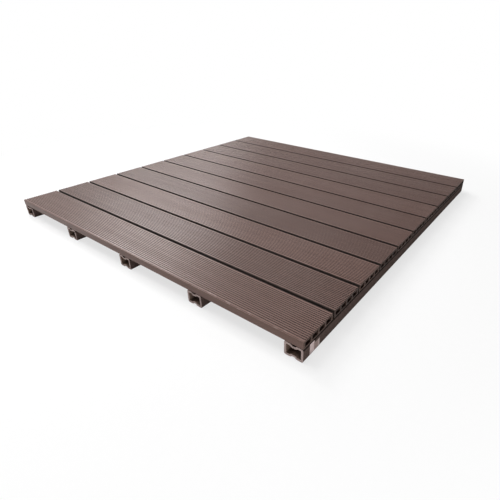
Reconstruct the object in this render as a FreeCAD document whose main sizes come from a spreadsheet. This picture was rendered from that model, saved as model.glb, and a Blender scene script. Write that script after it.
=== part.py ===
import FreeCAD, Part
import math
import os
import Sketcher

# Composite deck panel: ten hollow grooved boards laid across five hollow joists.
# X runs along the boards, Y from the front edge to the back edge, Z upwards.
# The origin is on the ground, under the middle of the panel.

# Driving dimensions in millimetres
SIZES = {
    # Boards
    "board_count": 10,
    "board_length": 1472,
    "board_width": 140,
    "board_thickness": 25,
    "board_gap": 8,
    "board_top_radius": 2,
    "board_bottom_chamfer": 1.5,
    # Hollow chambers along each board
    "chamber_count": 4,
    "side_wall": 7.5,
    "web_thickness": 7,
    "top_skin": 6.5,
    "bottom_skin": 4.5,
    "chamber_chamfer": 2,
    # Anti-slip grooves along the walking face
    "groove_count": 17,
    "groove_margin": 11,
    "groove_mouth": 3.2,
    "groove_floor": 2,
    "groove_depth": 1.4,
    # Joists
    "joist_count": 5,
    "joist_pitch": 350,
    "joist_shift": -6,
    "joist_width": 59,
    "joist_height": 44,
    "joist_edge_radius": 5,
    "joist_side_wall": 6.5,
    "joist_flange": 7,
    "hollow_chamfer": 1.5,
    # Waist rolled into the top and the bottom of each joist
    "waist_mouth": 18,
    "waist_floor": 9,
    "waist_depth": 4.5,
    "waist_wall": 6.5,
    "waist_bend_radius": 7,
    # Screws driven up through the joists into the middle web of each board
    "screw_diameter": 4.2,
    "screw_length": 50,
    "screw_head_diameter": 8,
    "screw_head_height": 2,
    "screw_clearance": 0.1,
    "pilot_extra": 1.5,
}

doc = FreeCAD.newDocument("DeckPanel")
sizes = doc.addObject("Spreadsheet::Sheet", "Sizes")
for row, (name, value) in enumerate(SIZES.items(), start=1):
    sizes.set("A%d" % row, name)
    sizes.set("B%d" % row, str(value))
    sizes.setAlias("B%d" % row, name)
doc.recompute()

# Places that more than one piece shares, as expressions of the sizes
BOARD_PITCH = "( board_width + board_gap )"
HALF_DEPTH = "( ( board_count * %s - board_gap ) / 2 )" % BOARD_PITCH
FIRST_BOARD = "( board_width / 2 - %s )" % HALF_DEPTH
SCREW_RADIUS = "( screw_diameter / 2 )"
HOLE_RADIUS = "( %s + screw_clearance )" % SCREW_RADIUS
SCREW_TIP = "( waist_depth + screw_length )"


def named(text):
    """Point every size name in an expression at its cell in the sheet."""
    return " ".join("Sizes." + word if word in SIZES else word for word in text.split())


def number(text):
    """Work out an expression of size names as a plain number."""
    return float(sizes.evalExpression(named(text)))


def bind(item, prop, text):
    """Tie a property of a feature to an expression of size names."""
    item.setExpression(prop, named(text))


def joist_place(index):
    """Give the middle of a joist: the outer two lie flush with the board ends."""
    if index == 0:
        return "( joist_width / 2 - board_length / 2 )"
    if index == SIZES["joist_count"] - 1:
        return "( board_length / 2 - joist_width / 2 )"
    return "( joist_shift + ( %d - ( joist_count - 1 ) / 2 ) * joist_pitch )" % index


def board_place(index):
    """Give the middle of a board, counted from the front."""
    return "( %s + %d * %s )" % (FIRST_BOARD, index, BOARD_PITCH)


def origin_feature(body, role):
    """Find one of a body's own planes or axes."""
    return next(item for item in body.Origin.OriginFeatures if item.Role == role)


def new_body(label):
    """Start an empty body with its own label."""
    body = doc.addObject("PartDesign::Body", label)
    body.Label = label
    return body


def new_sketch(body, plane, label):
    """Start a sketch on one of the body's own planes."""
    sketch = body.newObject("Sketcher::SketchObject", label)
    sketch.AttachmentSupport = (origin_feature(body, plane), [""])
    sketch.MapMode = "FlatFace"
    return sketch


def outline(sketch, corners):
    """Draw a closed outline of straight lines through corners given as expressions."""
    spots = [FreeCAD.Vector(number(across), number(up), 0) for across, up in corners]
    first = sketch.GeometryCount
    for index, spot in enumerate(spots):
        sketch.addGeometry(Part.LineSegment(spot, spots[(index + 1) % len(spots)]), False)
    for index, corner in enumerate(corners):
        line = first + index
        before = first + (index - 1) % len(spots)
        sketch.addConstraint(Sketcher.Constraint("Coincident", before, 2, line, 1))
        for kind, text in zip(("DistanceX", "DistanceY"), corner):
            rule = sketch.addConstraint(Sketcher.Constraint(kind, -1, 1, line, 1, number(text)))
            sketch.setExpression("Constraints[%d]" % rule, named(text))


def rectangle(left, right, low, high):
    """List the corners of an upright rectangle, anticlockwise."""
    return [(left, low), (right, low), (right, high), (left, high)]


def chamfered(left, right, low, high, cut):
    """List the corners of an upright rectangle whose four corners are cut off."""
    inner_left = "( %s + %s )" % (left, cut)
    inner_right = "( %s - %s )" % (right, cut)
    inner_low = "( %s + %s )" % (low, cut)
    inner_high = "( %s - %s )" % (high, cut)
    return [(inner_left, low), (inner_right, low), (right, inner_low), (right, inner_high),
            (inner_right, high), (inner_left, high), (left, inner_high), (left, inner_low)]


def hexagon(across, up, radius):
    """List the corners of a hexagon, two of them straight above and below its middle."""
    turns = [math.radians(60 * step + 30) for step in range(6)]
    return [("( %s + %.6f * %s )" % (across, math.cos(turn), radius),
             "( %s + %.6f * %s )" % (up, math.sin(turn), radius)) for turn in turns]


def waisted(corners, mouth, floor, depth):
    """Let the middle of a section's bottom edge and of its top edge dip inwards."""
    half = len(corners) // 2
    low, high = corners[0][1], corners[half][1]
    dip = [("( - %s / 2 )" % mouth, "0"), ("( - %s / 2 )" % floor, depth),
           ("( %s / 2 )" % floor, depth), ("( %s / 2 )" % mouth, "0")]
    bottom = [(across, "( %s + %s )" % (low, up)) for across, up in dip]
    top = [(across, "( %s - %s )" % (high, up)) for across, up in reversed(dip)]
    return corners[:1] + bottom + corners[1:half + 1] + top + corners[half + 1:]


def waist_mouths(section):
    """Pick the corners where the two dips of a waisted section begin and end."""
    half = len(section) // 2
    return section[1:5:3] + section[half + 1:half + 5:3]


def waist_floors(section):
    """Pick the corners at the floors of the two dips of a waisted section."""
    half = len(section) // 2
    return section[2:4] + section[half + 2:half + 4]


def pad(body, sketch, label, length):
    """Extrude a sketch equally to both sides of its plane."""
    feature = body.newObject("PartDesign::Pad", label)
    feature.Profile = sketch
    feature.SideType = "Symmetric"
    bind(feature, "Length", length)
    return feature


def cut_through(body, sketch, label):
    """Cut a sketch right through the body, to both sides of its plane."""
    feature = body.newObject("PartDesign::Pocket", label)
    feature.Profile = sketch
    feature.SideType = "Symmetric"
    feature.Type = "ThroughAll"
    return feature


def repeat(body, features, label, spacing, count):
    """Repeat features along the body's Y axis."""
    pattern = body.newObject("PartDesign::LinearPattern", label)
    pattern.Originals = features
    pattern.Direction = (origin_feature(body, "Y_Axis"), [""])
    pattern.Mode = "Spacing"
    bind(pattern, "Offset", spacing)
    bind(pattern, "Occurrences", count)
    body.Tip = pattern


def dress(body, kind, label, base, across, corners, prop, size):
    """Round or chamfer the long edges that pass through the given corners of the section."""
    doc.recompute()
    spots = [(number(side), number(up)) for side, up in corners]
    names = []
    for index, edge in enumerate(base.Shape.Edges, start=1):
        middle = edge.CenterOfMass
        spread = getattr(edge.BoundBox, across.upper() + "Length") + edge.BoundBox.ZLength
        near = any(abs(getattr(middle, across) - side) + abs(middle.z - up) < 1e-4 for side, up in spots)
        if spread < 1e-4 and near:
            names.append("Edge%d" % index)
    feature = body.newObject("PartDesign::" + kind, label)
    feature.Base = (base, names)
    bind(feature, prop, size)
    body.Tip = feature
    return feature


def make_board(label):
    """Extrude a board, core its chambers, groove its walking face and drill it from below."""
    body = new_body(label)
    half = "( board_width / 2 )"
    section = new_sketch(body, "YZ_Plane", "BoardSection")
    corners = rectangle("( - %s )" % half, half, "0", "board_thickness")
    outline(section, corners)
    blank = pad(body, section, "BoardBlank", "board_length")
    blank = dress(body, "Chamfer", "BottomEdges", blank, "y", corners[:2], "Size", "board_bottom_chamfer")
    dress(body, "Fillet", "TopEdges", blank, "y", corners[2:], "Radius", "board_top_radius")

    chamber = new_sketch(body, "YZ_Plane", "ChamberSection")
    webs = "( ( chamber_count - 1 ) * web_thickness )"
    width = "( ( board_width - 2 * side_wall - %s ) / chamber_count )" % webs
    left = "( side_wall - %s )" % half
    outline(chamber, chamfered(left, "( %s + %s )" % (left, width), "bottom_skin",
                               "( board_thickness - top_skin )", "chamber_chamfer"))
    core = cut_through(body, chamber, "Chamber")
    repeat(body, [core], "Chambers", "( %s + web_thickness )" % width, "chamber_count")

    groove = new_sketch(body, "YZ_Plane", "GrooveSection")
    middle = "( groove_margin - %s )" % half
    # The cut stands as far above the face as it goes in, on the same slopes.
    outline(groove, [
        ("( %s - groove_floor / 2 )" % middle, "( board_thickness - groove_depth )"),
        ("( %s + groove_floor / 2 )" % middle, "( board_thickness - groove_depth )"),
        ("( %s + groove_mouth - groove_floor / 2 )" % middle, "( board_thickness + groove_depth )"),
        ("( %s - groove_mouth + groove_floor / 2 )" % middle, "( board_thickness + groove_depth )"),
    ])
    cut = cut_through(body, groove, "Groove")
    repeat(body, [cut], "Grooves", "( ( board_width - 2 * groove_margin ) / ( groove_count - 1 ) )",
           "groove_count")

    pilots = new_sketch(body, "XY_Plane", "PilotHoles")
    for index in range(SIZES["joist_count"]):
        outline(pilots, hexagon(joist_place(index), "0", HOLE_RADIUS))
    drilled = body.newObject("PartDesign::Pocket", "DrilledHoles")
    drilled.Profile = pilots
    drilled.Reversed = True
    bind(drilled, "Length", "( %s - joist_height + pilot_extra )" % SCREW_TIP)
    return body


def make_joist(label):
    """Extrude the waisted hollow section and drill a screw hole under every board."""
    body = new_body(label)
    half = "( joist_width / 2 )"
    inside = "( joist_width / 2 - joist_side_wall )"
    corners = rectangle("( - %s )" % half, half, "0", "joist_height")
    hollow = chamfered("( - %s )" % inside, inside, "joist_flange", "( joist_height - joist_flange )",
                       "hollow_chamfer")
    outside = waisted(corners, "waist_mouth", "waist_floor", "waist_depth")
    # Inside, the waist is wider by its own wall, which keeps the section even.
    hollow = waisted(hollow, "( waist_mouth + waist_wall )", "( waist_floor + waist_wall / 2 )",
                     "( waist_depth + waist_wall - joist_flange )")
    section = new_sketch(body, "XZ_Plane", "JoistSection")
    outline(section, outside)
    outline(section, hollow)
    tube = pad(body, section, "JoistTube", "( 2 * %s )" % HALF_DEPTH)
    tube = dress(body, "Fillet", "JoistEdges", tube, "x", corners, "Radius", "joist_edge_radius")
    # The wall is rounded where it turns outwards: at the mouths outside and at the crests inside.
    bends = waist_mouths(outside) + waist_floors(hollow)
    dress(body, "Fillet", "WaistBends", tube, "x", bends, "Radius", "waist_bend_radius")

    hole = new_sketch(body, "XY_Plane", "ScrewHoleSection")
    outline(hole, hexagon("0", FIRST_BOARD, HOLE_RADIUS))
    drilled = cut_through(body, hole, "ScrewHole")
    repeat(body, [drilled], "ScrewHoles", BOARD_PITCH, "board_count")
    return body


def make_screw_row(label):
    """Make one screw with its head seated in the joist's waist, and repeat it under every board."""
    body = new_body(label)
    parts = []
    for name, radius, low, high in (
        ("Shank", SCREW_RADIUS, "waist_depth", SCREW_TIP),
        ("Head", "( screw_head_diameter / 2 )", "( waist_depth - screw_head_height )", "waist_depth"),
    ):
        section = new_sketch(body, "XY_Plane", name + "Section")
        bind(section, "AttachmentOffset.Base.z", low)
        outline(section, hexagon("0", FIRST_BOARD, radius))
        part = body.newObject("PartDesign::Pad", name)
        part.Profile = section
        bind(part, "Length", "( %s - %s )" % (high, low))
        parts.append(part)
    repeat(body, parts, "ScrewRow", BOARD_PITCH, "board_count")
    return body


def copy_of(source, label):
    """Make a further body that repeats a finished one."""
    body = new_body(label)
    link = doc.addObject("PartDesign::FeatureBase", label + "_base")
    link.BaseFeature = source
    body.Group = [link]
    body.Tip = link
    return body


def make_set(make, labels):
    """Make the first body of a set and repeat it for the other labels."""
    first = make(labels[0])
    return [first] + [copy_of(first, label) for label in labels[1:]]


boards = make_set(make_board, ["board_%02d" % (index + 1) for index in range(SIZES["board_count"])])
joists = make_set(make_joist, ["joist_%d" % (index + 1) for index in range(SIZES["joist_count"])])
screws = make_set(make_screw_row, ["screws_joist_%d" % (index + 1) for index in range(SIZES["joist_count"])])

for index, board in enumerate(boards):
    bind(board, "Placement.Base.y", board_place(index))
    bind(board, "Placement.Base.z", "joist_height")
for index, pair in enumerate(zip(joists, screws)):
    for piece in pair:
        bind(piece, "Placement.Base.x", joist_place(index))
doc.recompute()

pieces = boards + joists + screws
for item in doc.Objects:
    if "Invalid" in item.State or "Error" in item.State:
        raise RuntimeError("%s did not rebuild: %s" % (item.Label, item.State))
for piece in pieces:
    if piece.Shape.isNull() or not piece.Shape.isValid():
        raise RuntimeError("%s has no valid shape" % piece.Label)

os.makedirs("parts", exist_ok=True)
for piece in pieces:
    piece.Shape.exportStep("parts/%s.step" % piece.Label)
    print("%-16s %2d solids  %9.1f cm3" % (piece.Label, len(piece.Shape.Solids), piece.Shape.Volume / 1000))
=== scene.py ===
"""Looks of a composite deck panel: ten grooved hollow boards screwed to five hollow joists."""

import logging
import math
from collections.abc import Callable, Iterable, Mapping, Sequence
from dataclasses import dataclass
from enum import Enum
from functools import partial, reduce

import bmesh
import bpy
from mathutils import Matrix, Vector


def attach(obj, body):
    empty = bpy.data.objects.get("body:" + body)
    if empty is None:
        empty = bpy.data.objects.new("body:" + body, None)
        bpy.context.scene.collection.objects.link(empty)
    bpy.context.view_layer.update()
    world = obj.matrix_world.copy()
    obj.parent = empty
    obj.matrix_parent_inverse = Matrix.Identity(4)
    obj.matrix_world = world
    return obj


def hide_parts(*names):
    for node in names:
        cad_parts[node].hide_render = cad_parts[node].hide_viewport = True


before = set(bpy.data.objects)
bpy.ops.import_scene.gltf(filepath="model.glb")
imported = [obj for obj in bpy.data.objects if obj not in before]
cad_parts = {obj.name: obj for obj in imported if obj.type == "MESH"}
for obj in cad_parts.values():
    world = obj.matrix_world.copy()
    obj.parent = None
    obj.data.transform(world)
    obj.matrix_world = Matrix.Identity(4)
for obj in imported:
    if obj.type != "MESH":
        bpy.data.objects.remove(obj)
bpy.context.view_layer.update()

LOG = logging.getLogger("deck_panel")
BODY = "root"
PHOTO_WIDTH = 500
PANEL_HALF = 0.736
BOARD_PITCH = 0.148
UNDER_BOARDS = 0.044
NEARLY_STRAIGHT = math.radians(89.5)
QUARTER_TURN = math.radians(90)
SHARPEST = 0.5
Colour = tuple[float, float, float]
WHITE: Colour = (1.0, 1.0, 1.0)
AXES = ((1.0, 0.0, 0.0), (0.0, 1.0, 0.0))
# Added to the brush direction, which would vanish on faces square to the run.
NEVER_ZERO = (0.001, 0.001, 0.001)
Socket = bpy.types.NodeSocket
Mesh = bpy.types.Mesh
Material = bpy.types.Material
Group = bpy.types.NodeTree


class Slot(Enum):
    """The record's material slots."""

    BOARD = "board_composite"
    JOIST = "joist_composite"
    SCREW = "screw_steel"


class Run(Enum):
    """The row axis along which a piece was extruded."""

    ALONG_X = 0
    ALONG_Y = 1


@dataclass(frozen=True)
class Corner:
    """One corner of a section, in metres, and the radius that rounds it."""

    u: float
    v: float
    radius: float = 0.0


def round_off(corners: Sequence[Corner], steps: int = 6) -> list[Vector]:
    """Turn a ring of corners into points, with an arc at each rounded corner.

    Args:
        corners: the ring's corners in order.
        steps: how many straight runs make a quarter of a circle.

    Returns:
        The ring's points, in the same order.
    """
    ring: list[Vector] = []
    for index, corner in enumerate(corners):
        here = Vector((corner.u, corner.v))
        before, after = corners[index - 1], corners[(index + 1) % len(corners)]
        back = (Vector((before.u, before.v)) - here).normalized()
        ahead = (Vector((after.u, after.v)) - here).normalized()
        half = back.angle(ahead) / 2
        if corner.radius <= 0 or half > NEARLY_STRAIGHT:
            ring.append(here)
            continue
        centre = here + (back + ahead).normalized() * corner.radius / math.sin(half)
        first = here + back * corner.radius / math.tan(half) - centre
        last = here + ahead * corner.radius / math.tan(half) - centre
        turn = math.atan2(first.cross(last), first.dot(last))
        runs = max(2, round(abs(turn) / QUARTER_TURN * steps))
        for step in range(runs + 1):
            angle = turn * step / runs
            ring.append(centre + Vector((first.x * math.cos(angle) - first.y * math.sin(angle),
                                         first.x * math.sin(angle) + first.y * math.cos(angle))))
    return ring


def inset(ring: Sequence[Vector], depth: float) -> list[Vector]:
    """Move a ring towards the material, which lies on the left of its run.

    A sharp corner moves at most 1 / SHARPEST times as far as its sides.

    Args:
        ring: points of a closed ring.
        depth: how far each side moves.

    Returns:
        The moved points.
    """
    moved = []
    for index, point in enumerate(ring):
        come = (point - ring[index - 1]).normalized()
        go = (ring[(index + 1) % len(ring)] - point).normalized()
        left, other = Vector((-come.y, come.x)), Vector((-go.y, go.x))
        middle = (left + other).normalized()
        moved.append(point + middle * depth / max(SHARPEST, middle.dot(left)))
    return moved


def wrap(shape: bmesh.types.BMesh, rows: Sequence[Sequence[bmesh.types.BMVert]]) -> None:
    """Join rings of points with four-sided faces.

    Args:
        shape: the shape that gets the faces.
        rows: the rings in order, each of as many points.
    """
    for near, far in zip(rows, rows[1:]):
        for index in range(len(near)):
            other = (index + 1) % len(near)
            shape.faces.new((near[index], near[other], far[other], far[index]))


def close_up(shape: bmesh.types.BMesh, name: str) -> Mesh:
    """Turn a closed shape's faces outwards and make a mesh of it.

    Args:
        shape: the shape, which is freed.
        name: the mesh's name.

    Returns:
        The new mesh.
    """
    bmesh.ops.recalc_face_normals(shape, faces=shape.faces)
    mesh = bpy.data.meshes.new(name)
    shape.to_mesh(mesh)
    shape.free()
    return mesh


@dataclass
class Extrusion:
    """A section with hollows, drawn out to a length, with its sawn end edges eased."""

    outside: list[Vector]
    hollows: list[list[Vector]]
    length: float
    place: Callable[[float, float, float], Vector]
    ease: float = 0.0003

    def mesh(self, name: str) -> Mesh:
        """Build the extrusion.

        Args:
            name: the mesh's name.

        Returns:
            One closed mesh.
        """
        half = self.length / 2
        stations = ((-half, self.ease), (self.ease - half, 0.0), (half - self.ease, 0.0), (half, self.ease))
        shape = bmesh.new()
        ends: tuple[list[bmesh.types.BMEdge], ...] = ([], [])
        for ring in (self.outside, *self.hollows):
            rows = []
            for along, depth in stations:
                points = inset(ring, depth) if depth else ring
                rows.append([shape.verts.new(self.place(along, point.x, point.y)) for point in points])
            wrap(shape, rows)
            for edges, row in zip(ends, (rows[0], rows[-1])):
                edges += [shape.edges.get(pair) for pair in zip(row, row[1:] + row[:1])]
        for edges in ends:
            bmesh.ops.triangle_fill(shape, edges=edges, use_beauty=True, use_dissolve=False)
        return close_up(shape, name)


def add(name: str, data: bpy.types.ID) -> bpy.types.Object:
    """Make an object and link it into the scene.

    Args:
        name: the object's name.
        data: its mesh, lamp or camera.

    Returns:
        The new object.
    """
    item = bpy.data.objects.new(name, data)
    bpy.context.scene.collection.objects.link(item)
    return item


def cut_away(mesh: Mesh, cutter_mesh: Mesh, name: str) -> Mesh:
    """Take one closed mesh away from another. Both old meshes are removed.

    Args:
        mesh: the mesh to cut.
        cutter_mesh: the mesh whose inside is taken away.
        name: the new mesh's name.

    Returns:
        The cut mesh.
    """
    cutter, blank = add("cutter", cutter_mesh), add("blank", mesh)
    cut = blank.modifiers.new("cut", "BOOLEAN")
    cut.operation, cut.solver, cut.object = "DIFFERENCE", "EXACT", cutter
    bpy.context.view_layer.update()
    done = bpy.data.meshes.new_from_object(blank.evaluated_get(bpy.context.evaluated_depsgraph_get()))
    done.name = name
    for item in (cutter, blank):
        bpy.data.objects.remove(item)
    bpy.data.meshes.remove(cutter_mesh)
    bpy.data.meshes.remove(mesh)
    return done


def drill(mesh: Mesh, holes: Sequence[Vector], radius: float, low: float, high: float, sides: int = 16) -> Mesh:
    """Cut upright round holes into a mesh.

    Args:
        mesh: the closed mesh to drill, which is removed.
        holes: the middle of each hole.
        radius: the holes' radius.
        low: height where the drill starts.
        high: height where the drill ends.
        sides: how many flats make a hole's wall.

    Returns:
        The drilled mesh.
    """
    bits = bmesh.new()
    for hole in holes:
        spot = Matrix.Translation((hole.x, hole.y, (low + high) / 2))
        bmesh.ops.create_cone(bits, cap_ends=True, segments=sides, radius1=radius, radius2=radius,
                              depth=high - low, matrix=spot)
    return cut_away(mesh, close_up(bits, "drill_bits"), mesh.name + "_drilled")


def show(name: str, mesh: Mesh, finish: Material, place: Vector, node: str = "") -> None:
    """Put a piece with its finish into the scene, riding on the panel.

    Args:
        name: the piece's name.
        mesh: its mesh, which other pieces may share.
        finish: its material.
        place: where its mesh's origin goes.
        node: the CAD node that it takes the place of, if there is one.
    """
    if not mesh.materials:
        mesh.materials.append(finish)
    piece = add(name, mesh)
    piece.location = place
    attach(piece, BODY)
    if node:
        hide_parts(node)
    LOG.info("%s: %d faces", name, len(mesh.polygons))


@dataclass(frozen=True)
class Graph:
    """Short calls that add linked nodes to one node tree."""

    MIX_SHARE, MIX_FIRST, MIX_SECOND, MIX_RESULT = 0, 6, 7, 2
    tree: Group

    def fold(self, operation: str, values: Iterable[object]) -> Socket:
        """Chain one math operation through all the values and return the last result."""
        return reduce(partial(self.math, operation), values)

    def feed(self, socket: Socket, value: object) -> None:
        """Link a socket to another one, or set its plain value.

        Args:
            socket: the socket to feed.
            value: another socket, a number, three numbers or a colour.
        """
        if isinstance(value, Socket):
            self.tree.links.new(value, socket)
        elif socket.type == "RGBA":
            socket.default_value = (*value, 1.0)
        else:
            socket.default_value = value

    def node(self, kind: str, *values: object, inputs: Mapping[str | int, object] | None = None,
             **settings: object) -> bpy.types.Node:
        """Add a shader node, set its own properties and feed its inputs.

        Args:
            kind: the node's type name after the word ShaderNode.
            values: what feeds its first inputs, in order.
            inputs: what feeds further inputs, by name or number.
            settings: properties of the node.

        Returns:
            The new node.
        """
        made = self.tree.nodes.new("ShaderNode" + kind)
        for key, value in settings.items():
            setattr(made, key, value)
        for socket, value in zip(made.inputs, values):
            self.feed(socket, value)
        for key, value in (inputs or {}).items():
            self.feed(made.inputs[key], value)
        return made

    def math(self, operation: str, *values: object, clamp: bool = False) -> Socket:
        """Add a math node, held between 0 and 1 if clamp is set, and return its result."""
        return self.node("Math", *values, operation=operation, use_clamp=clamp).outputs[0]

    def times(self, *values: object) -> Socket:
        """Multiply numbers and return the product."""
        return self.fold("MULTIPLY", values)

    def less(self, value: object) -> Socket:
        """Take a value from 1."""
        return self.math("SUBTRACT", 1.0, value)

    def vector(self, operation: str, *values: object) -> Socket:
        """Add a vector math node and return its vector."""
        return self.node("VectorMath", *values, operation=operation).outputs[0]

    def parts(self, vector: Socket) -> bpy.types.NodeOutputs:
        """Split a vector into its three parts."""
        return self.node("SeparateXYZ", vector).outputs

    def join(self, *parts: object) -> Socket:
        """Make a vector of three parts."""
        return self.node("CombineXYZ", *parts).outputs[0]

    def noise(self, vector: Socket, scale: float | Colour, detail: float = 2.0) -> Socket:
        """Add a noise texture.

        Args:
            vector: the place where it is looked up.
            scale: how fine it is, as one number or one for each axis.
            detail: how many finer layers it has.

        Returns:
            Its value.
        """
        if isinstance(scale, tuple):
            vector, scale = self.vector("MULTIPLY", vector, scale), 1.0
        return self.node("TexNoise", inputs={"Vector": vector, "Scale": scale, "Detail": detail}).outputs["Fac"]

    def span(self, value: object, low: object, high: object, to_low: float = 0.0, to_high: float = 1.0) -> Socket:
        """Map a value smoothly from the span low to high onto the span to_low to to_high."""
        return self.node("MapRange", value, low, high, to_low, to_high, interpolation_type="SMOOTHSTEP").outputs[0]

    def blend(self, share: object, first: object, second: object, kind: str = "MIX") -> Socket:
        """Mix two colours, with share telling how much of the second there is."""
        return self.node("Mix", data_type="RGBA", blend_type=kind, inputs={
            self.MIX_SHARE: share, self.MIX_FIRST: first, self.MIX_SECOND: second}).outputs[self.MIX_RESULT]

    def bump(self, height: Socket, strength: float, distance: float) -> Socket:
        """Turn a relief into a normal, with its depth in metres as the distance."""
        return self.node("Bump", inputs={"Strength": strength, "Distance": distance, "Height": height}).outputs[0]

    def place(self, group: Group, **values: object) -> bpy.types.NodeOutputs:
        """Place a node group, feed its inputs by name and return its outputs."""
        return self.node("Group", node_tree=group, inputs=values).outputs


def start_group(name: str, inputs: Sequence[str], outputs: Sequence[str]) -> tuple[
        Graph, bpy.types.NodeOutputs, bpy.types.NodeInputs]:
    """Start a node group with named sockets. One called Vector holds a vector, the others hold numbers.

    Args:
        name: the group's name.
        inputs: name of each input.
        outputs: name of each output.

    Returns:
        The group's graph, what comes in and what goes out.
    """
    tree = bpy.data.node_groups.new(name, "ShaderNodeTree")
    for way, labels in (("INPUT", inputs), ("OUTPUT", outputs)):
        for label in labels:
            kind = "NodeSocketVector" if label == "Vector" else "NodeSocketFloat"
            tree.interface.new_socket(label, in_out=way, socket_type=kind)
    return Graph(tree), tree.nodes.new("NodeGroupInput").outputs, tree.nodes.new("NodeGroupOutput").inputs


class Effects:
    """Surface effects that several finishes share, each a node group made once."""

    STREAK_SCALE: Colour = (1.7, 95.0, 95.0)
    BRUSH_SCALE: Colour = (9.0, 1100.0, 1100.0)
    RUB_SCALE: Colour = (42.0, 210.0, 210.0)
    FIBRE_SHORTENED: Colour = (0.3, 1.0, 1.0)

    def __init__(self) -> None:
        """Make all the groups."""
        self.grain, self.flecks, self.sawn, self.tone = self._grain(), self._flecks(), self._sawn(), self._tone()
        self.dust, self.crevice_shade, self.rubbed = self._dust(), self._crevice_shade_group(), self._rubbed()

    def _grain(self) -> Group:
        """Make drawn-out streaks and brush lines that follow the extrusion.

        Returns:
            The group, which puts out Streak and Brush.
        """
        graph, come, go = start_group("lengthwise_grain", ("Vector",), ("Streak", "Brush"))
        graph.feed(go["Streak"], graph.span(graph.noise(come["Vector"], self.STREAK_SCALE, 3.0), 0.3, 0.7))
        graph.feed(go["Brush"], graph.span(graph.noise(come["Vector"], self.BRUSH_SCALE), 0.3, 0.7))
        return graph.tree

    def _flecks(self) -> Group:
        """Make short pale wood fibres that lie in the plastic along the extrusion.

        Returns:
            The group, which puts out Fleck.
        """
        graph, come, go = start_group("fibre_flecks", ("Vector", "Size"), ("Fleck",))
        drawn = graph.vector("MULTIPLY", come["Vector"], self.FIBRE_SHORTENED)
        cells = graph.node("TexVoronoi", inputs={"Vector": graph.vector("DIVIDE", drawn, come["Size"]), "Scale": 1.0})
        spots = graph.span(cells.outputs["Distance"], 0.32, 0.12)
        graph.feed(go["Fleck"], graph.times(spots, graph.span(graph.noise(drawn, 310.0, 1.0), 0.52, 0.62)))
        return graph.tree

    @staticmethod
    def _sawn() -> Group:
        """Find the sawn ends and draw the saw's marks on them.

        Returns:
            The group, which puts out Sawn and Marks.
        """
        graph, come, go = start_group("sawn_ends", ("Vector", "Facing"), ("Sawn", "Marks"))
        graph.feed(go["Sawn"], graph.span(come["Facing"], 0.55, 0.85))
        lines = graph.node("TexWave", bands_direction="Y", inputs={
            "Vector": come["Vector"], "Scale": 190.0, "Distortion": 3.0, "Detail": 2.0, "Detail Scale": 1.4})
        graph.feed(go["Marks"], lines.outputs["Fac"])
        return graph.tree

    @staticmethod
    def _tone() -> Group:
        """Give each piece of a set a tone of its own, from its number in the row.

        Returns:
            The group, which puts out Tone, 0 to 1.
        """
        graph, come, go = start_group("piece_tone", ("Place", "First", "Pitch", "Seed"), ("Tone",))
        index = graph.math("FLOOR", graph.math("DIVIDE", graph.math("SUBTRACT", come["Place"], come["First"]),
                                               come["Pitch"]))
        spread = graph.times(graph.math("ADD", graph.times(index, 0.18), 0.21), index)
        graph.feed(go["Tone"], graph.math("FRACT", graph.math("ADD", spread, come["Seed"])))
        return graph.tree

    @staticmethod
    def _dust() -> Group:
        """Let a little pale sawing dust lie on what faces upwards.

        Returns:
            The group, which puts out Dust.
        """
        graph, come, go = start_group("settled_dust", ("Vector", "Up"), ("Dust",))
        cloud = graph.span(graph.noise(come["Vector"], 6.0, 4.0), 0.4, 0.75)
        grit = graph.span(graph.noise(come["Vector"], 700.0, 1.0), 0.5, 0.7)
        graph.feed(go["Dust"], graph.times(cloud, graph.math("ADD", 0.4, graph.times(grit, 0.6)),
                                           graph.span(come["Up"], 0.6, 1.0)))
        return graph.tree

    def _rubbed(self) -> Group:
        """Scatter a few pale rub marks along the panel's outer edges.

        Returns:
            The group, which puts out Rub.
        """
        graph, come, go = start_group("rubbed_edges", ("Vector", "Across", "Edge"), ("Rub",))
        marks = graph.span(graph.noise(come["Vector"], self.RUB_SCALE, 3.0), 0.60, 0.68)
        away = graph.math("SUBTRACT", come["Edge"], graph.math("ABSOLUTE", come["Across"]))
        graph.feed(go["Rub"], graph.times(marks, graph.span(away, 0.030, 0.004)))
        return graph.tree

    @staticmethod
    def _crevice_shade_group() -> Group:
        """Paint shade, a dark colour, where a face lies close to its neighbour.

        Returns:
            The group, which puts out Grime.
        """
        graph, come, go = start_group("painted_crevice_shade", ("Vector", "Closeness"), ("PaintedShade",))
        cloud = graph.span(graph.noise(come["Vector"], 45.0, 3.0), 0.3, 0.7, 0.86, 1.0)
        graph.feed(go["PaintedShade"], graph.times(come["Closeness"], cloud))
        return graph.tree


def new_material(name: str) -> tuple[Material, Graph, Socket]:
    """Start a material with only its output.

    Args:
        name: the material's name.

    Returns:
        The material, its graph and its surface socket.
    """
    material = bpy.data.materials.new(name)
    material.use_nodes = True
    material.node_tree.nodes.clear()
    graph = Graph(material.node_tree)
    return material, graph, graph.node("OutputMaterial").inputs["Surface"]


@dataclass(frozen=True)
class HollowShade:
    """Where a profile's hollows lie, and the colour painted on their walls as shade."""

    colour: Colour
    half_width: float
    low: float
    high: float
    edge: float = 0.0002


@dataclass(frozen=True)
class CreviceShade:
    """Where a profile lies close to its neighbours, beyond a distance from its middle, and the painted shade's colour.
    """

    beside: float
    opens: float
    closes: float
    reach: float
    edge: float = 0.0010
    # The dark colour painted as shade in crevices and gaps.
    colour: Colour = (0.012, 0.008, 0.006)


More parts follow.
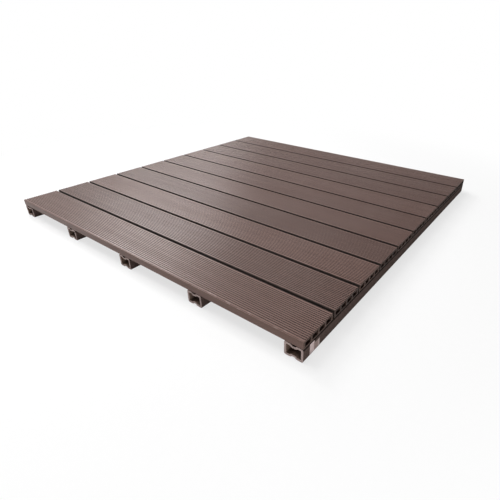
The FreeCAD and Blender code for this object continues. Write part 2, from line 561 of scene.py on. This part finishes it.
@dataclass(frozen=True)
class CompositeFinish:
    """Wood-plastic composite as it leaves the die, brushed or plain, with sawn ends of their own colour.

    The four roughened shares belong to streaks, unbrushed faces, sawn ends and the painted crevice shade.
    """

    name: str
    run: Run
    skin: Colour
    groove_shade_and_streak: Colour
    sawn: Colour
    brushed_above: float
    first: float
    pitch: float
    seed: float
    middles: tuple[float, ...]
    hollow: HollowShade
    crevice_shade: CreviceShade
    tone_spread: float
    sawn_spread: float
    grooved_half: float = 0.0
    groove_edge: float = 0.0002
    groove_fade: tuple[float, float] = (0.0020, 0.0015)
    top_fade: tuple[float, float] = (0.0004, 0.00005)
    flank: Colour = WHITE
    sheen: Colour = (1.0, 0.90, 0.89)
    gloss: float = 0.25
    brushing: float = 0.9
    roughness: float = 0.34
    roughened: tuple[float, float, float, float] = (0.08, 0.08, 0.47, 0.5)
    foot: float = 0.0
    foot_share: float = 0.8
    streak_share: float = 0.16
    brush_share: float = 0.10
    marks_share: float = 0.25
    fleck_size: float = 0.0016
    fleck_share: float = 0.35
    dust_colour: Colour = (0.55, 0.5, 0.47)
    dust_share: float = 0.05
    rub_colour: Colour = (0.36, 0.27, 0.245)
    rub_share: float = 0.50
    brush_height: float = 0.6
    fleck_height: float = 0.5
    marks_height: float = 1.2
    relief_share: float = 0.5
    relief_depth: float = 0.00012

    def across_the_run(self, graph: Graph, normal: Socket) -> Socket:
        """Find the direction on a face that lies across the brush and die lines."""
        side = graph.vector("CROSS_PRODUCT", normal, AXES[self.run.value])
        return graph.vector("ADD", side, NEVER_ZERO)

    @staticmethod
    def toned(graph: Graph, colour: Socket, tone: Socket, spread: float) -> Socket:
        """Lighten or darken a colour by the piece's tone, as far as the spread allows."""
        shade = graph.span(tone, 0.0, 1.0, 1.0 - spread, 1.0 + spread)
        return graph.blend(1.0, colour, graph.join(shade, shade, shade), "MULTIPLY")

    def from_middle(self, graph: Graph, across: Socket) -> Socket:
        """Measure how far a point lies from the middle line of its own piece, in metres."""
        gaps = [graph.math("ABSOLUTE", graph.math("SUBTRACT", across, middle)) for middle in self.middles]
        return graph.fold("MINIMUM", gaps)

    def inside(self, graph: Graph, side: Socket, height: Socket) -> Socket:
        """Find the walls of the hollows: 1 inside them, 0 outside."""
        span = self.hollow
        return graph.times(graph.span(side, span.half_width, span.half_width - span.edge),
                           graph.span(height, span.low, span.low + span.edge),
                           graph.span(height, span.high, span.high - span.edge))

    def closeness(self, graph: Graph, side: Socket, height: Socket, across: Socket) -> Socket:
        """Find where shade is painted: faces that lie close to a neighbouring piece, and the foot on the floor.

        Args:
            graph: the material's graph.
            side: distance from the piece's middle line.
            height: height above the ground.
            across: place across the run, because the outermost faces have no neighbour.

        Returns:
            1 deep in a crevice, 0 in the open.
        """
        span = self.crevice_shade
        close = graph.times(graph.span(side, span.beside - span.edge, span.beside),
                            graph.span(height, span.opens, span.closes),
                            graph.span(graph.math("ABSOLUTE", across), span.reach + span.edge, span.reach))
        if not self.foot:
            return close
        # Painted shade at the foot, where the piece stands on the floor.
        return graph.math("MAXIMUM", close, graph.span(height, self.foot, self.foot / 3, 0.0, self.foot_share))

    def groove(self, graph: Graph, side: Socket, height: Socket, flank: Socket) -> Socket:
        """Find the walls and floors of the grooves: 1 in them, 0 on the brushed face and outside."""
        low, high = self.groove_fade
        return graph.times(graph.span(side, self.grooved_half + self.groove_edge, self.grooved_half),
                           graph.span(height, self.brushed_above - low, self.brushed_above - high), flank)

    def build(self, effects: Effects) -> Material:
        """Make the material.

        Args:
            effects: the shared node groups.

        Returns:
            The finished material.
        """
        material, graph, surface = new_material(self.name)
        along, sideways = self.run.value, 1 - self.run.value
        where = graph.node("NewGeometry").outputs
        spot, facing = graph.parts(where["Position"]), graph.parts(where["True Normal"])
        across, height = spot[sideways], spot[2]
        drawn = graph.join(spot[along], across, height)
        side = self.from_middle(graph, across)
        top = graph.span(height, *(self.brushed_above - fade for fade in self.top_fade))
        flank = graph.less(top)

        grain = graph.place(effects.grain, Vector=drawn)
        fleck = graph.place(effects.flecks, Vector=drawn, Size=self.fleck_size)["Fleck"]
        tone = graph.place(effects.tone, Place=across, First=self.first, Pitch=self.pitch, Seed=self.seed)["Tone"]
        ends = graph.place(effects.sawn, Vector=drawn, Facing=graph.math("ABSOLUTE", facing[along]))
        dust = graph.place(effects.dust, Vector=where["Position"], Up=facing[2])["Dust"]
        rubbed = graph.place(effects.rubbed, Vector=drawn, Across=across, Edge=PANEL_HALF)["Rub"]
        close = graph.times(self.closeness(graph, side, height, across), graph.less(ends["Sawn"]))
        # Painted shade: a dark colour in the gaps between pieces and at the foot, where light hardly reaches.
        painted_shade = graph.place(effects.crevice_shade, Vector=where["Position"], Closeness=close)["PaintedShade"]

        # Painted shade: the groove walls and floors take the dark groove colour, partly darker unsanded plastic,
        # mostly shade in the grooves.
        colour = graph.blend(self.groove(graph, side, height, flank), self.skin, self.groove_shade_and_streak)
        colour = graph.blend(1.0, colour, graph.blend(top, self.flank, WHITE), "MULTIPLY")
        colour = graph.blend(graph.times(grain["Streak"], self.streak_share), colour, self.groove_shade_and_streak)
        colour = graph.blend(graph.times(grain["Brush"], top, self.brush_share), colour, self.sawn)
        colour = self.toned(graph, colour, tone, self.tone_spread)
        # Painted shade: the hollows' walls take a colour of their own, set for the shade inside them.
        colour = graph.blend(self.inside(graph, side, height), colour, self.hollow.colour)
        marked = graph.blend(graph.times(ends["Marks"], self.marks_share), self.sawn, self.skin)
        layers = ((ends["Sawn"], self.toned(graph, marked, tone, self.sawn_spread)),
                  (graph.times(fleck, self.fleck_share), self.sawn),
                  (graph.times(dust, self.dust_share), self.dust_colour),
                  (graph.times(rubbed, top, self.rub_share), self.rub_colour),
                  (painted_shade, self.crevice_shade.colour))
        for share, layer in layers:
            colour = graph.blend(share, colour, layer)

        rough = self.roughness
        for mask, share in zip((grain["Streak"], flank, ends["Sawn"], painted_shade), self.roughened):
            rough = graph.math("ADD", rough, graph.times(mask, share), clamp=True)
        relief = graph.fold("ADD", (graph.times(grain["Brush"], self.brush_height), graph.times(
            fleck, self.fleck_height), graph.times(ends["Marks"], ends["Sawn"], self.marks_height)))
        shader = graph.node("BsdfPrincipled", inputs={
            "Base Color": colour, "Roughness": rough, "Specular IOR Level": self.gloss, "Specular Tint": self.sheen,
            "Anisotropic": self.brushing, "Tangent": self.across_the_run(graph, where["True Normal"]),
            "Normal": graph.bump(relief, self.relief_share, self.relief_depth)})
        graph.feed(surface, shader.outputs[0])
        return material


@dataclass(frozen=True)
class SteelFinish:
    """Stainless steel of the screws, faintly stained and dusted."""

    name: str = "screw_steel"
    bright: Colour = (0.56, 0.55, 0.53)
    dull: Colour = (0.30, 0.28, 0.26)
    dust_colour: Colour = (0.4, 0.33, 0.3)
    dust_share: float = 0.2
    roughness: float = 0.28
    stain_roughness: float = 0.3

    def build(self, effects: Effects) -> Material:
        """Make the material.

        Args:
            effects: the shared node groups.

        Returns:
            The finished material.
        """
        material, graph, surface = new_material(self.name)
        where = graph.node("NewGeometry").outputs
        stain = graph.span(graph.noise(where["Position"], 420.0, 3.0), 0.42, 0.68)
        up = graph.parts(where["True Normal"])[2]
        dust = graph.place(effects.dust, Vector=where["Position"], Up=up)["Dust"]
        colour = graph.blend(stain, self.bright, self.dull)
        colour = graph.blend(graph.times(dust, self.dust_share), colour, self.dust_colour)
        rough = graph.math("ADD", self.roughness, graph.times(stain, self.stain_roughness))
        shader = graph.node("BsdfPrincipled", inputs={"Base Color": colour, "Roughness": rough, "Metallic": 1.0})
        graph.feed(surface, shader.outputs[0])
        return material


@dataclass(frozen=True)
class PaperFinish:
    """Bare label paper: a pale field, a greyer field in its middle, scuffs and soft creases."""

    name: str = "label_paper"
    pale: Colour = (0.665, 0.525, 0.51)
    grey: Colour = (0.285, 0.197, 0.177)
    strip: Colour = (0.485, 0.39, 0.365)
    field_from: float = -0.686
    field_to: float = -0.667
    wobble: float = 0.004
    soft: float = 0.001
    fibre_share: float = 0.10
    scuff_scale: Colour = (240.0, 240.0, 60.0)
    scuff_share: float = 0.30
    crease_share: float = 0.6
    crease_depth: float = 0.0006

    def build(self) -> Material:
        """Make the material.

        Returns:
            The finished material.
        """
        material, graph, surface = new_material(self.name)
        place = graph.node("NewGeometry").outputs["Position"]
        uneven = graph.math("SUBTRACT", graph.noise(place, 90.0), 0.5)
        across = graph.math("ADD", graph.parts(place)[1], graph.times(uneven, self.wobble))
        begun = graph.span(across, self.field_from - self.soft, self.field_from + self.soft)
        beyond = graph.span(across, self.field_to - self.soft, self.field_to + self.soft)
        inside = graph.times(begun, graph.less(beyond))
        colour = graph.blend(inside, graph.blend(beyond, self.pale, self.strip), self.grey)
        fibres = graph.noise(place, 1600.0, 3.0)
        colour = graph.blend(graph.span(fibres, 0.35, 0.75, 0.0, self.fibre_share), colour, self.grey)
        scuffs = graph.span(graph.noise(place, self.scuff_scale, 4.0), 0.55, 0.7)
        colour = graph.blend(graph.times(scuffs, self.scuff_share), colour, self.grey)
        shader = graph.node("BsdfPrincipled", inputs={
            "Base Color": colour, "Roughness": graph.span(fibres, 0.3, 0.7, 0.55, 0.75),
            "Normal": graph.bump(graph.noise(place, 130.0), self.crease_share, self.crease_depth)})
        graph.feed(surface, shader.outputs[0])
        return material


@dataclass
class Boards:
    """The ten walking boards: four hollow chambers and a grooved, brushed face."""

    finish: Material
    places: Sequence[float]
    pilots: Sequence[float]
    length: float = 2 * PANEL_HALF
    width: float = 0.140
    thickness: float = 0.025
    top_radius: float = 0.002
    bottom_chamfer: float = 0.0015
    bottom_radius: float = 0.0005
    chambers: int = 4
    side_wall: float = 0.0075
    web: float = 0.007
    top_skin: float = 0.0065
    bottom_skin: float = 0.0045
    chamber_radius: float = 0.0026
    grooves: int = 17
    groove_margin: float = 0.011
    groove_mouth: float = 0.0032
    groove_floor: float = 0.002
    groove_depth: float = 0.0014
    rib_radius: float = 0.0004
    pilot_radius: float = 0.0022
    pilot_depth: float = 0.012
    drill_start: float = -0.002

    def outside(self) -> list[Vector]:
        """Draw the section's outer ring, anticlockwise.

        Returns:
            The ring's points.
        """
        half, cut, soft = self.width / 2, self.bottom_chamfer, self.bottom_radius
        ring = [Corner(-half, cut, soft), Corner(cut - half, 0, soft), Corner(half - cut, 0, soft),
                Corner(half, cut, soft), Corner(half, self.thickness, self.top_radius)]
        step = (self.width - 2 * self.groove_margin) / (self.grooves - 1)
        low = self.thickness - self.groove_depth
        rib = (self.groove_mouth / 2, self.thickness, self.rib_radius)
        root = (self.groove_floor / 2, low, self.rib_radius / 2)
        for index in range(self.grooves):
            middle = half - self.groove_margin - index * step
            for way, (out, up, radius) in ((1, rib), (1, root), (-1, root), (-1, rib)):
                ring.append(Corner(middle + way * out, up, radius))
        ring.append(Corner(-half, self.thickness, self.top_radius))
        return round_off(ring)

    def hollows(self) -> list[list[Vector]]:
        """Draw the chambers' rings, clockwise.

        Returns:
            A ring of points for each chamber.
        """
        width = (self.width - 2 * self.side_wall - (self.chambers - 1) * self.web) / self.chambers
        low, high = self.bottom_skin, self.thickness - self.top_skin
        rings = []
        for index in range(self.chambers):
            left = self.side_wall - self.width / 2 + index * (width + self.web)
            spots = ((left, low), (left, high), (left + width, high), (left + width, low))
            rings.append(round_off([Corner(u, v, self.chamber_radius) for u, v in spots]))
        return rings

    def build(self) -> None:
        """Build one board and lay it in each place, from the front to the back."""
        shape = Extrusion(self.outside(), self.hollows(), self.length, lambda along, u, v: Vector((along, u, v)))
        mesh = drill(shape.mesh("board"), [Vector((place, 0, 0)) for place in self.pilots],
                     self.pilot_radius, self.drill_start, self.pilot_depth)
        for number, place in enumerate(self.places, 1):
            show("grooved_board_%02d" % number, mesh, self.finish, Vector((0, place, UNDER_BOARDS)),
                 "board_%02d" % number)


@dataclass
class Joists:
    """The five hollow joists, with a waist rolled into top and bottom."""

    finish: Material
    places: Sequence[float]
    holes: Sequence[float]
    label_seat: Callable[[float], Mesh]
    length: float = 2 * PANEL_HALF
    width: float = 0.059
    height: float = UNDER_BOARDS
    edge_radius: float = 0.005
    side_wall: float = 0.0065
    flange: float = 0.007
    hollow_radius: float = 0.0022
    waist_mouth: float = 0.018
    waist_floor: float = 0.009
    waist_depth: float = 0.0045
    waist_wall: float = 0.0065
    bend_radius: float = 0.007
    root_radius: float = 0.0012
    hole_radius: float = 0.0022
    drill_over: float = 0.002
    steps: int = 8

    @staticmethod
    def waisted(side: float, low: float, high: float, mouth: float, floor: float, depth: float,
                corner: float, bends: tuple[float, float]) -> list[Corner]:
        """Draw a ring whose bottom and top dip inwards at the middle, anticlockwise.

        Args:
            side: half of the ring's width.
            low: its lowest height.
            high: its highest height.
            mouth: width of the dip where it begins.
            floor: width of the dip at its end.
            depth: how far it dips.
            corner: radius of the four outer corners.
            bends: radius at the mouth and at the floor of the dips.

        Returns:
            The ring's corners.
        """
        dip = [(-mouth / 2, 0.0, bends[0]), (-floor / 2, depth, bends[1]), (floor / 2, depth, bends[1]),
               (mouth / 2, 0.0, bends[0])]
        bottom = [Corner(u, low + v, radius) for u, v, radius in dip]
        top = [Corner(u, high - v, radius) for u, v, radius in reversed(dip)]
        return [Corner(-side, low, corner), *bottom, Corner(side, low, corner),
                Corner(side, high, corner), *top, Corner(-side, high, corner)]

    def build(self) -> None:
        """Build one joist and lay it in each place, from left to right. The last one gets the label's seat."""
        outside = self.waisted(self.width / 2, 0.0, self.height, self.waist_mouth, self.waist_floor,
                               self.waist_depth, self.edge_radius, (self.bend_radius, self.root_radius))
        hollow = self.waisted(self.width / 2 - self.side_wall, self.flange, self.height - self.flange,
                              self.waist_mouth + self.waist_wall, self.waist_floor + self.waist_wall / 2,
                              self.waist_depth + self.waist_wall - self.flange, self.hollow_radius,
                              (self.root_radius, self.bend_radius))
        shape = Extrusion(round_off(outside, self.steps), [round_off(hollow, self.steps)[::-1]], self.length,
                          lambda along, u, v: Vector((u, along, v)))
        mesh = drill(shape.mesh("joist"), [Vector((0, place, 0)) for place in self.holes],
                     self.hole_radius, -self.drill_over, self.height + self.drill_over)
        meshes = [mesh] * len(self.places)
        meshes[-1] = cut_away(mesh.copy(), self.label_seat(self.places[-1]), "joist_with_label_seat")
        for number, (mesh, place) in enumerate(zip(meshes, self.places), 1):
            show("waisted_joist_%d" % number, mesh, self.finish, Vector((place, 0, 0)), "joist_%d" % number)


@dataclass
class ScrewRows:
    """Deck screws driven up from below: a flat head in the waist, a plain neck, a coarse thread, a point."""

    finish: Material
    rows: Sequence[float]
    places: Sequence[float]
    seat: float = 0.0045
    length: float = 0.050
    head_height: float = 0.002
    head_radius: float = 0.00345
    head_edge: tuple[float, float] = (0.00025, 0.0007)
    recess_radius: float = 0.0016
    recess_depth: float = 0.0013
    recess_wave: float = 0.16
    recess_points: int = 6
    recess_taper: tuple[float, float] = (0.7, 0.8)
    rim_shares: tuple[float, float] = (0.8, 0.94)
    root_radius: float = 0.0015
    thread_radius: float = 0.00205
    neck: float = 0.014
    neck_share: float = 0.85
    neck_end: float = 0.98
    point: float = 0.006
    tip_share: float = 0.08
    lead: float = 0.0030
    sides: int = 18

    def radius_at(self, up: float, turn: float) -> float:
        """Work out the shank's radius, thread included.

        Args:
            up: height above the head's seat.
            turn: share of a full turn around the screw.

        Returns:
            The radius there.
        """
        if up < self.neck:
            return self.thread_radius * self.neck_share
        wave = (up / self.lead - turn) % 1.0
        ridge = max(0.0, 1.0 - abs(wave - 0.5) * 4.0)
        left = max(0.0, self.length - up) / self.point
        return (self.root_radius + (self.thread_radius - self.root_radius) * ridge) * min(1.0, self.tip_share + left)

    def rings(self) -> list[list[Vector]]:
        """Lay out the rings of one screw, from the recess's floor over the head to the point.

        Returns:
            The rings in order.
        """
        turns = [index / self.sides for index in range(self.sides)]
        low, rim = self.seat - self.head_height, self.head_radius
        star = [self.recess_radius * (1 + self.recess_wave * math.cos(self.recess_points * math.tau * turn))
                for turn in turns]
        floor, wall = self.recess_taper
        head = [([floor * radius for radius in star], low + self.recess_depth), (star, low + self.recess_depth * wall),
                (star, low), ([rim * self.rim_shares[0]] * self.sides, low),
                ([rim * self.rim_shares[1]] * self.sides, low + self.head_edge[0]),
                ([rim] * self.sides, low + self.head_edge[1]), ([rim] * self.sides, self.seat)]
        step = self.lead / 4
        threaded = range(int((self.length - self.neck) / step))
        heights = [0.0, self.neck * self.neck_end, *(self.neck + step * index for index in threaded), self.length]
        shank = [([self.radius_at(up, turn) for turn in turns], self.seat + up) for up in heights]
        return [[Vector((radius * math.cos(math.tau * turn), radius * math.sin(math.tau * turn), height))
                 for radius, turn in zip(radii, turns)] for radii, height in head + shank]

    def mesh(self) -> Mesh:
        """Build one row of screws as one mesh.

        Returns:
            The new mesh.
        """
        shape = bmesh.new()
        rings = self.rings()
        for place in self.places:
            offset = Vector((0, place, 0))
            rows = [[shape.verts.new(point + offset) for point in ring] for ring in rings]
            wrap(shape, rows)
            shape.faces.new(rows[0][::-1])
            shape.faces.new(rows[-1])
        return close_up(shape, "screw_row")

    def build(self) -> None:
        """Put a row of screws into each joist, from left to right."""
        mesh = self.mesh()
        for number, row in enumerate(self.rows, 1):
            show("deck_screws_%d" % number, mesh, self.finish, Vector((row, 0, 0)),
                 "screws_joist_%d" % number)


@dataclass
class PaperLabel:
    """A bare paper label on the right joist's outer side, near its front end."""

    finish: Material
    side: float = PANEL_HALF
    front: float = -PANEL_HALF
    near: float = 0.030
    step: float = 0.051
    step_run: float = 0.004
    far: float = 0.0765
    low: float = 0.0052
    high: float = 0.039
    step_high: float = 0.0295
    thickness: float = 0.0001
    cutter_over: float = 0.002
    cells: tuple[int, int] = (24, 16)

    def grid(self) -> list[list[tuple[float, float]]]:
        """Lay out the sheet's points, with the step in its top edge.

        Returns:
            Columns of places along Y and Z, from the front to the back.
        """
        across, up = self.cells
        columns = []
        for index in range(across + 1):
            along = self.near + (self.far - self.near) * index / across
            fall = min(1.0, max(0.0, (along - self.step) / self.step_run))
            top = self.high + (self.step_high - self.high) * fall
            columns.append([(self.front + along, self.low + (top - self.low) * row / up) for row in range(up + 1)])
        return columns

    def sheet(self, name: str, inner: float, outer: float) -> Mesh:
        """Build a closed sheet in the label's outline.

        Args:
            name: the mesh's name.
            inner: where its inner face lies, along X.
            outer: where its outer face lies, along X.

        Returns:
            The new mesh.
        """
        shape = bmesh.new()
        across, up = self.cells
        skins = [[[shape.verts.new((x, y, z)) for y, z in column] for column in self.grid()] for x in (inner, outer)]
        for skin in skins:
            for i in range(across):
                for j in range(up):
                    shape.faces.new((skin[i][j], skin[i + 1][j], skin[i + 1][j + 1], skin[i][j + 1]))
        border = ([(i, 0) for i in range(across)] + [(across, j) for j in range(up)]
                  + [(i, up) for i in range(across, 0, -1)] + [(0, j) for j in range(up, 0, -1)])
        wrap(shape, [[skin[i][j] for i, j in border] for skin in skins])
        return close_up(shape, name)

    def seat(self, place: float) -> Mesh:
        """Build the cutter of the label's shallow seat, for a joist whose own origin lies at this X."""
        return self.sheet("label_seat", self.side - self.thickness - place, self.side + self.cutter_over - place)

    def build(self) -> None:
        """Build the label, flush with the joist's side."""
        mesh = self.sheet("paper_label", self.side - self.thickness, self.side)
        show("paper_label", mesh, self.finish, Vector((0, 0, 0)))


@dataclass(frozen=True)
class Softbox:
    """A soft lamp that looks at the middle of the panel from a direction and a distance."""

    name: str
    azimuth: float
    elevation: float
    distance: float
    size: tuple[float, float]
    power: float

    def build(self) -> None:
        """Hang the lamp."""
        data = bpy.data.lights.new(self.name, "AREA")
        data.shape = "RECTANGLE"
        data.size, data.size_y = self.size
        data.energy = self.power
        lamp = add(self.name, data)
        turn, rise = math.radians(self.azimuth), math.radians(self.elevation)
        lamp.location = Vector((math.cos(turn) * math.cos(rise), math.sin(turn) * math.cos(rise),
                                math.sin(rise))) * self.distance
        lamp.rotation_euler = (-lamp.location).to_track_quat("-Z", "Y").to_euler()
        LOG.info("lamp %s", self.name)


@dataclass
class Studio:
    """Pale floor, white surroundings and soft lamps."""

    floor_size: float = 40.0
    floor_drop: float = 0.0004
    floor_colour: Colour = (0.86, 0.86, 0.86)
    shadow_share: float = 0.3
    clear_from: float = 0.9
    clear_to: float = 1.9
    ambient: float = 0.142
    lamps: Sequence[Softbox] = (
        Softbox("back_left_box", 167, 38, 8.0, (0.7, 1.8), 250.0),
        Softbox("back_box", 146, 31, 8.0, (0.7, 1.8), 50.0),
        Softbox("back_wide_box", 150, 24, 8.0, (4.0, 1.8), 55.0),
        Softbox("overhead_box", 240, 78, 3.0, (2.4, 2.4), 35.0),
        Softbox("left_box", 200, 60, 3.5, (2.0, 2.0), 86.0),
        Softbox("right_low_box", 318, 4.0, 2.4, (1.2, 0.3), 7.0),
    )

    @staticmethod
    def seen(graph: Graph) -> Socket:
        """Tell what is looked at or mirrored, 1, from what only gives light, 0."""
        path = graph.node("LightPath").outputs
        return graph.fold("MAXIMUM", (path["Is Camera Ray"], path["Is Glossy Ray"], path["Is Transmission Ray"]))

    def surroundings(self) -> None:
        """Make the world white to look at and softer as a light."""
        world = bpy.data.worlds.new("studio_world")
        world.use_nodes = True
        world.node_tree.nodes.clear()
        graph = Graph(world.node_tree)
        strength = graph.span(self.seen(graph), 0.0, 1.0, self.ambient, 1.0)
        back = graph.node("Background", inputs={"Color": WHITE, "Strength": strength})
        graph.node("OutputWorld", inputs={"Surface": back.outputs[0]})
        bpy.context.scene.world = world

    def floor_finish(self) -> Material:
        """Make the floor's material, which clears to white away from the panel.

        Returns:
            The material.
        """
        material, graph, surface = new_material("studio_floor")
        place = graph.node("NewGeometry").outputs["Position"]
        away = graph.node("VectorMath", place, operation="LENGTH").outputs["Value"]
        clear = graph.span(away, self.clear_from, self.clear_to, 1.0 - self.shadow_share, 1.0)
        speckle = graph.span(graph.noise(place, 60.0, 3.0), 0.3, 0.7, 0.98, 1.0)
        tint = graph.join(*(graph.times(speckle, part) for part in self.floor_colour))
        matt = graph.node("BsdfDiffuse", inputs={"Color": tint})
        white = graph.node("Emission", inputs={"Color": WHITE, "Strength": 1.0})
        both = graph.node("MixShader", graph.times(self.seen(graph), clear), matt.outputs[0], white.outputs[0])
        graph.feed(surface, both.outputs[0])
        return material

    def floor(self) -> None:
        """Lay a pale floor that keeps the panel's shadow."""
        half = self.floor_size / 2
        mesh = bpy.data.meshes.new("studio_floor")
        mesh.from_pydata([(-half, -half, 0), (half, -half, 0), (half, half, 0), (-half, half, 0)], [], [(0, 1, 2, 3)])
        mesh.materials.append(self.floor_finish())
        floor = add("studio_floor", mesh)
        floor.location.z = -self.floor_drop
        LOG.info("studio_floor")

    def build(self) -> None:
        """Set up the floor, the surroundings and the lamps."""
        self.surroundings()
        self.floor()
        for lamp in self.lamps:
            lamp.build()
        bpy.context.scene.view_settings.view_transform = "Standard"


@dataclass(frozen=True)
class PhotoCamera:
    """The photograph's camera: its place, where it looks and its frame."""

    place: tuple[float, float, float] = (1.10982, -1.31800, 0.72412)
    azimuth: float = 35.3283
    elevation: float = 28.8696
    roll: float = 0.8161
    focal_pixels: float = 383.02
    middle: tuple[float, float] = (291.93, 242.77)
    nearest: float = 0.01

    def build(self) -> None:
        """Make the camera and look through it."""
        turn, rise, lean = (math.radians(angle) for angle in (self.azimuth, self.elevation, self.roll))
        back = Vector((math.sin(turn) * math.cos(rise), -math.cos(turn) * math.cos(rise), math.sin(rise)))
        right = Vector((0, 0, 1)).cross(back).normalized()
        up = back.cross(right)
        right, up = (right * math.cos(lean) + up * math.sin(lean), up * math.cos(lean) - right * math.sin(lean))
        data = bpy.data.cameras.new("photo_camera")
        data.sensor_fit = "HORIZONTAL"
        data.lens = self.focal_pixels / PHOTO_WIDTH * data.sensor_width
        data.shift_x = (PHOTO_WIDTH / 2 - self.middle[0]) / PHOTO_WIDTH
        data.shift_y = (self.middle[1] - PHOTO_WIDTH / 2) / PHOTO_WIDTH
        data.clip_start = self.nearest
        camera = add("photo_camera", data)
        camera.matrix_world = Matrix.Translation(self.place) @ Matrix((right, up, back)).transposed().to_4x4()
        bpy.context.scene.camera = camera
        LOG.info("photo_camera")


def main() -> None:
    """Build the camera, the panel's pieces and the studio."""
    logging.basicConfig(level=logging.INFO, format="%(name)s: %(message)s")
    PhotoCamera().build()
    effects = Effects()
    joist_places = (-0.7065, -0.356, -0.006, 0.344, 0.7065)
    crossings = tuple(-0.666 + BOARD_PITCH * index for index in range(10))
    board_finish = CompositeFinish(
        # The boards' groove colour is mostly painted shade in the grooves; it also colours the streaks.
        name="brushed_board", run=Run.ALONG_X, skin=(0.151, 0.0855, 0.0705), groove_shade_and_streak=(0.020, 0.0115, 0.0095),
        # Painted shade: the boards' sawn ends, on the panel's shaded sides, are a darkened copy of the joists' pale
        # sawn colour.
        sawn=(0.058, 0.037, 0.029), brushed_above=0.069, first=-0.740, pitch=BOARD_PITCH, seed=0.81,
        middles=crossings, hollow=HollowShade((0.055, 0.034, 0.027), half_width=0.0630, low=0.0480, high=0.0630),
        # Painted shade in the gaps: the boards' sides, rounded edges and a strip of the top beside each gap.
        crevice_shade=CreviceShade(beside=0.0664, opens=0.06926, closes=0.06894, reach=0.7330),
        tone_spread=0.11, sawn_spread=0.35, grooved_half=0.0608, flank=(0.88, 0.94, 0.94))
    joist_finish = CompositeFinish(
        name="plain_joist", run=Run.ALONG_Y, skin=(0.092, 0.0630, 0.0550), groove_shade_and_streak=(0.075, 0.051, 0.0445),
        sawn=(0.413, 0.322, 0.303), brushed_above=UNDER_BOARDS, first=-0.911, pitch=0.350, seed=0.02,
        middles=joist_places, hollow=HollowShade((0.156, 0.107, 0.083), half_width=0.0240, low=0.0062, high=0.0378),
        # Painted shade on the joists' rounded top corners under the boards, and at their foot on the floor.
        crevice_shade=CreviceShade(beside=0.0, opens=0.0355, closes=0.0381, reach=1.0),
        tone_spread=0.05, sawn_spread=0.1, gloss=0.08, brushing=0.2, roughness=0.85, foot=0.006)
    Boards(board_finish.build(effects), crossings, joist_places).build()
    label = PaperLabel(PaperFinish().build())
    Joists(joist_finish.build(effects), joist_places, crossings, label.seat).build()
    ScrewRows(SteelFinish().build(effects), joist_places, crossings).build()
    label.build()
    Studio().build()


if __name__ == "__main__":
    main()
